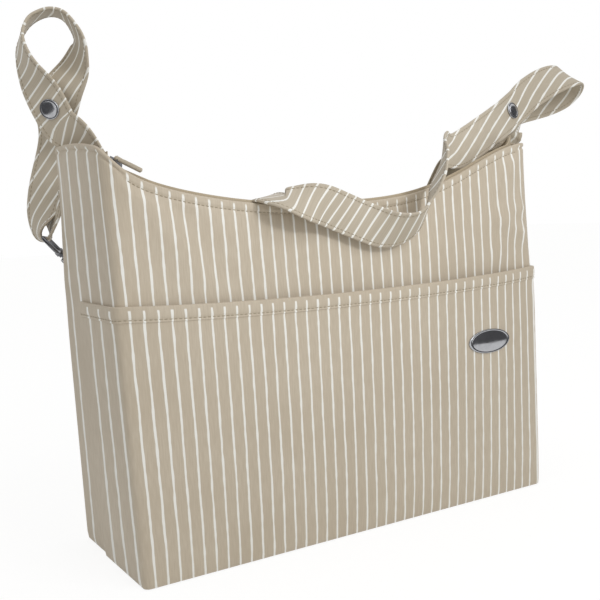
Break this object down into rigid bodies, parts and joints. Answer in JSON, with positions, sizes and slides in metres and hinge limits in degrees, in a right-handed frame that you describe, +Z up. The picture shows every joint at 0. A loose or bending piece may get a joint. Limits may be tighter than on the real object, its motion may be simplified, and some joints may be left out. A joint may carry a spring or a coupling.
{
  "type": "stroller bag",
  "caption": "Tall striped cloth bag with an open curved top, a front pocket and a looped strap that snaps round a stroller's handle.",
  "frame": {"origin": "centre of the base's underside, on the floor", "axes": "+X to the bag's right as seen from the front, -Y out of the front with the pocket, +Z up"},
  "size_m": [0.5252, 0.1863, 0.4003],
  "materials": {
    "striped_cloth": "satin woven, with fine pale pinstripes",
    "lining_cloth": "plain woven",
    "webbing": "striped woven strap",
    "zip_tape": "woven tape",
    "board": "plain board",
    "chromed": "polished",
    "dark_metal": "darkened"
  },
  "bodies": {
    "bag": {"front_panel": "striped_cloth", "back_panel": "striped_cloth", "left_gusset": "striped_cloth", "right_gusset": "striped_cloth", "base_panel": "striped_cloth", "base_board": "board", "lining": "lining_cloth", "front_pocket": "striped_cloth", "front_zip_tape": "zip_tape", "back_zip_tape": "zip_tape", "zip_slider": "dark_metal", "zip_end_tab": "zip_tape", "badge": "chromed", "strap": "webbing", "left_snap_cap": "chromed", "left_snap_socket": "chromed", "left_snap_stud": "chromed", "left_snap_post": "chromed", "left_ring_tab": "webbing", "left_hook_eye": "dark_metal", "right_snap_cap": "chromed", "right_snap_socket": "chromed", "right_snap_stud": "chromed", "right_snap_post": "chromed", "right_ring_tab": "webbing", "right_hook_eye": "dark_metal"},
    "left_ring_body": {"left_ring": "chromed"},
    "left_hook_body": {"left_hook": "dark_metal"},
    "left_hook_gate_body": {"left_hook_gate": "chromed"},
    "right_ring_body": {"right_ring": "chromed"},
    "right_hook_body": {"right_hook": "dark_metal"},
    "right_hook_gate_body": {"right_hook_gate": "chromed"},
    "puller_body": {"zip_puller": "striped_cloth"}
  },
  "joints": [
    {"name": "left_ring_swing", "type": "hinge", "parent": "bag", "child": "left_ring_body", "pos_m": [-0.16625, 0.06376, 0.20155], "axis": [-0.7899, 0, -0.6132], "range_deg": [-3, 3]},
    {"name": "left_hook_swivel", "type": "hinge", "parent": "bag", "child": "left_hook_body", "pos_m": [-0.193, 0.076, 0.236], "axis": [0.5904, -0.2702, -0.7605], "range_deg": [-30, 30]},
    {"name": "left_gate_hinge", "type": "hinge", "parent": "left_hook_body", "child": "left_hook_gate_body", "pos_m": [-0.17942, 0.07498, 0.21851], "axis": [-0.7899, 0, -0.6132], "range_deg": [0, 20], "stiffness_Nm_per_rad": 0.02},
    {"name": "right_ring_swing", "type": "hinge", "parent": "bag", "child": "right_ring_body", "pos_m": [0.16625, 0.06376, 0.20155], "axis": [-0.7899, 0, 0.6132], "range_deg": [-3, 3]},
    {"name": "right_hook_swivel", "type": "hinge", "parent": "bag", "child": "right_hook_body", "pos_m": [0.193, 0.076, 0.236], "axis": [-0.5904, -0.2702, -0.7605], "range_deg": [-30, 30]},
    {"name": "right_gate_hinge", "type": "hinge", "parent": "right_hook_body", "child": "right_hook_gate_body", "pos_m": [0.17942, 0.07498, 0.21851], "axis": [-0.7899, 0, 0.6132], "range_deg": [0, 20], "stiffness_Nm_per_rad": 0.02},
    {"name": "puller_hinge", "type": "hinge", "parent": "bag", "child": "puller_body", "pos_m": [-0.17741, -0.05044, 0.28659], "axis": [-0.3426, -0.6428, -0.6852], "range_deg": [0, 100]}
  ]
}
